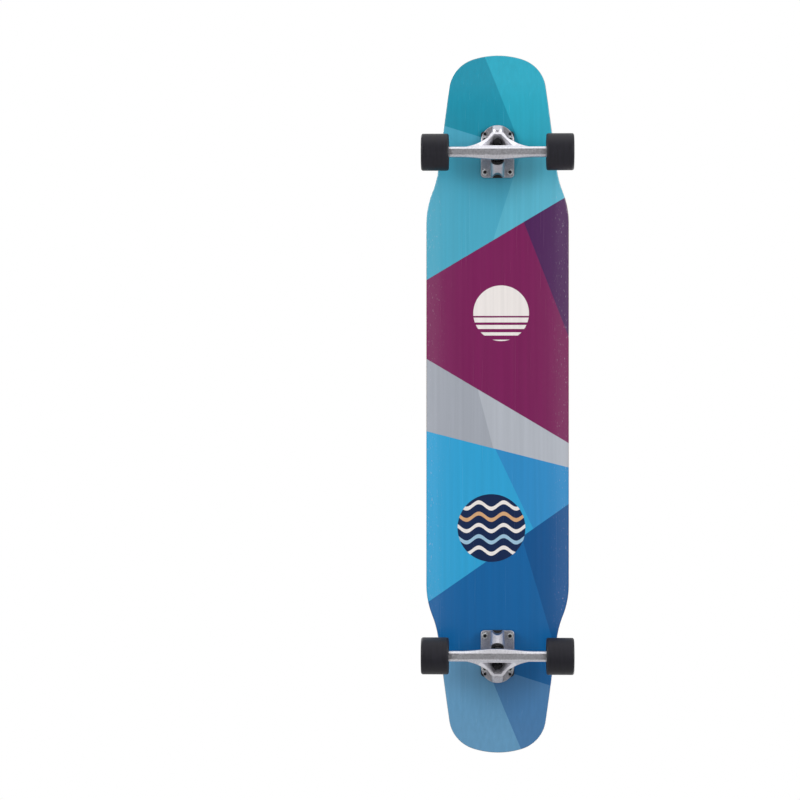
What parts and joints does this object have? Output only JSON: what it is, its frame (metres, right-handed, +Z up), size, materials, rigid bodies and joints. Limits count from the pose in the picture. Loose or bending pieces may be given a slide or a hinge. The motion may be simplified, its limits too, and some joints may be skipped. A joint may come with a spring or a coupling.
{
  "type": "longboard skateboard",
  "caption": "Longboard skateboard: concave wooden deck with kicked nose and tail on two reverse-kingpin trucks, with soft road wheels on ball bearings.",
  "frame": {"origin": "on the ground under the middle of the deck", "axes": "+X towards the nose, +Y to the rider's left facing the nose, +Z up"},
  "size_m": [1.16, 0.248, 0.14],
  "materials": {
    "deck_maple": "clear lacquer",
    "grip_sheet": "gritty",
    "riser_plastic": "matte",
    "black_bolts": "black oxide",
    "zinc_hardware": "zinc plated",
    "cast_aluminium": "tumbled casting",
    "pivot_cup_urethane": "satin",
    "bushing_urethane": "satin",
    "wheel_urethane": "satin",
    "core_nylon": "moulded",
    "bearing_steel": "ground",
    "bearing_shield": "pressed"
  },
  "bodies": {
    "board": {"deck": "deck_maple", "grip_tape": "grip_sheet", "front_riser_pad": "riser_plastic", "front_mounting_bolts": "black_bolts", "front_mounting_nuts": "zinc_hardware", "front_baseplate": "cast_aluminium", "front_pivot_cup": "pivot_cup_urethane", "front_kingpin": "black_bolts", "front_kingpin_nut": "black_bolts", "front_board_side_washer": "black_bolts", "front_board_side_bushing": "bushing_urethane", "front_road_side_washer": "black_bolts", "front_road_side_bushing": "bushing_urethane", "rear_riser_pad": "riser_plastic", "rear_mounting_bolts": "black_bolts", "rear_mounting_nuts": "zinc_hardware", "rear_baseplate": "cast_aluminium", "rear_pivot_cup": "pivot_cup_urethane", "rear_kingpin": "black_bolts", "rear_kingpin_nut": "black_bolts", "rear_board_side_washer": "black_bolts", "rear_board_side_bushing": "bushing_urethane", "rear_road_side_washer": "black_bolts", "rear_road_side_bushing": "bushing_urethane"},
    "front_truck": {"front_hanger": "cast_aluminium", "front_axle": "zinc_hardware", "front_axle_nuts": "zinc_hardware", "front_axle_washers": "zinc_hardware", "front_bearing_spacers": "zinc_hardware", "front_bearing_inner_races": "bearing_steel"},
    "front_left_wheel_set": {"front_left_wheel": "wheel_urethane", "front_left_wheel_core": "core_nylon", "front_left_bearing_outer_races": "bearing_steel", "front_left_bearing_shields": "bearing_shield"},
    "front_left_ball_set": {"front_left_bearing_balls": "bearing_steel", "front_left_bearing_cages": "core_nylon"},
    "front_right_wheel_set": {"front_right_wheel": "wheel_urethane", "front_right_wheel_core": "core_nylon", "front_right_bearing_outer_races": "bearing_steel", "front_right_bearing_shields": "bearing_shield"},
    "front_right_ball_set": {"front_right_bearing_balls": "bearing_steel", "front_right_bearing_cages": "core_nylon"},
    "rear_truck": {"rear_hanger": "cast_aluminium", "rear_axle": "zinc_hardware", "rear_axle_nuts": "zinc_hardware", "rear_axle_washers": "zinc_hardware", "rear_bearing_spacers": "zinc_hardware", "rear_bearing_inner_races": "bearing_steel"},
    "rear_left_wheel_set": {"rear_left_wheel": "wheel_urethane", "rear_left_wheel_core": "core_nylon", "rear_left_bearing_outer_races": "bearing_steel", "rear_left_bearing_shields": "bearing_shield"},
    "rear_left_ball_set": {"rear_left_bearing_balls": "bearing_steel", "rear_left_bearing_cages": "core_nylon"},
    "rear_right_wheel_set": {"rear_right_wheel": "wheel_urethane", "rear_right_wheel_core": "core_nylon", "rear_right_bearing_outer_races": "bearing_steel", "rear_right_bearing_shields": "bearing_shield"},
    "rear_right_ball_set": {"rear_right_bearing_balls": "bearing_steel", "rear_right_bearing_cages": "core_nylon"}
  },
  "joints": [
    {"name": "front_steer", "type": "hinge", "parent": "board", "child": "front_truck", "pos_m": [0.41896, 0, 0.06998], "axis": [0.8829, 0, 0.4695], "range_deg": [-12, 12], "stiffness_Nm_per_rad": 60, "deforming": ["front_board_side_bushing", "front_road_side_bushing"]},
    {"name": "front_left_wheel_spin", "type": "hinge", "parent": "front_truck", "child": "front_left_wheel_set", "pos_m": [0.409, 0, 0.03], "axis": [0, 1, 0], "continuous": true},
    {"name": "front_left_ball_spin", "type": "hinge", "parent": "front_truck", "child": "front_left_ball_set", "pos_m": [0.409, 0, 0.03], "axis": [0, 1, 0], "continuous": true},
    {"name": "front_right_wheel_spin", "type": "hinge", "parent": "front_truck", "child": "front_right_wheel_set", "pos_m": [0.409, 0, 0.03], "axis": [0, 1, 0], "continuous": true},
    {"name": "front_right_ball_spin", "type": "hinge", "parent": "front_truck", "child": "front_right_ball_set", "pos_m": [0.409, 0, 0.03], "axis": [0, 1, 0], "continuous": true},
    {"name": "rear_steer", "type": "hinge", "parent": "board", "child": "rear_truck", "pos_m": [-0.41896, 0, 0.06998], "axis": [-0.8829, 0, 0.4695], "range_deg": [-12, 12], "stiffness_Nm_per_rad": 60, "deforming": ["rear_board_side_bushing", "rear_road_side_bushing"]},
    {"name": "rear_left_wheel_spin", "type": "hinge", "parent": "rear_truck", "child": "rear_left_wheel_set", "pos_m": [-0.409, 0, 0.03], "axis": [0, 1, 0], "continuous": true},
    {"name": "rear_left_ball_spin", "type": "hinge", "parent": "rear_truck", "child": "rear_left_ball_set", "pos_m": [-0.409, 0, 0.03], "axis": [0, 1, 0], "continuous": true},
    {"name": "rear_right_wheel_spin", "type": "hinge", "parent": "rear_truck", "child": "rear_right_wheel_set", "pos_m": [-0.409, 0, 0.03], "axis": [0, 1, 0], "continuous": true},
    {"name": "rear_right_ball_spin", "type": "hinge", "parent": "rear_truck", "child": "rear_right_ball_set", "pos_m": [-0.409, 0, 0.03], "axis": [0, 1, 0], "continuous": true}
  ],
  "couplings": [
    {"joint": "front_left_ball_spin", "follows": "front_left_wheel_spin", "ratio": 0.6323},
    {"joint": "front_right_ball_spin", "follows": "front_right_wheel_spin", "ratio": 0.6323},
    {"joint": "rear_left_ball_spin", "follows": "rear_left_wheel_spin", "ratio": 0.6323},
    {"joint": "rear_right_ball_spin", "follows": "rear_right_wheel_spin", "ratio": 0.6323}
  ]
}
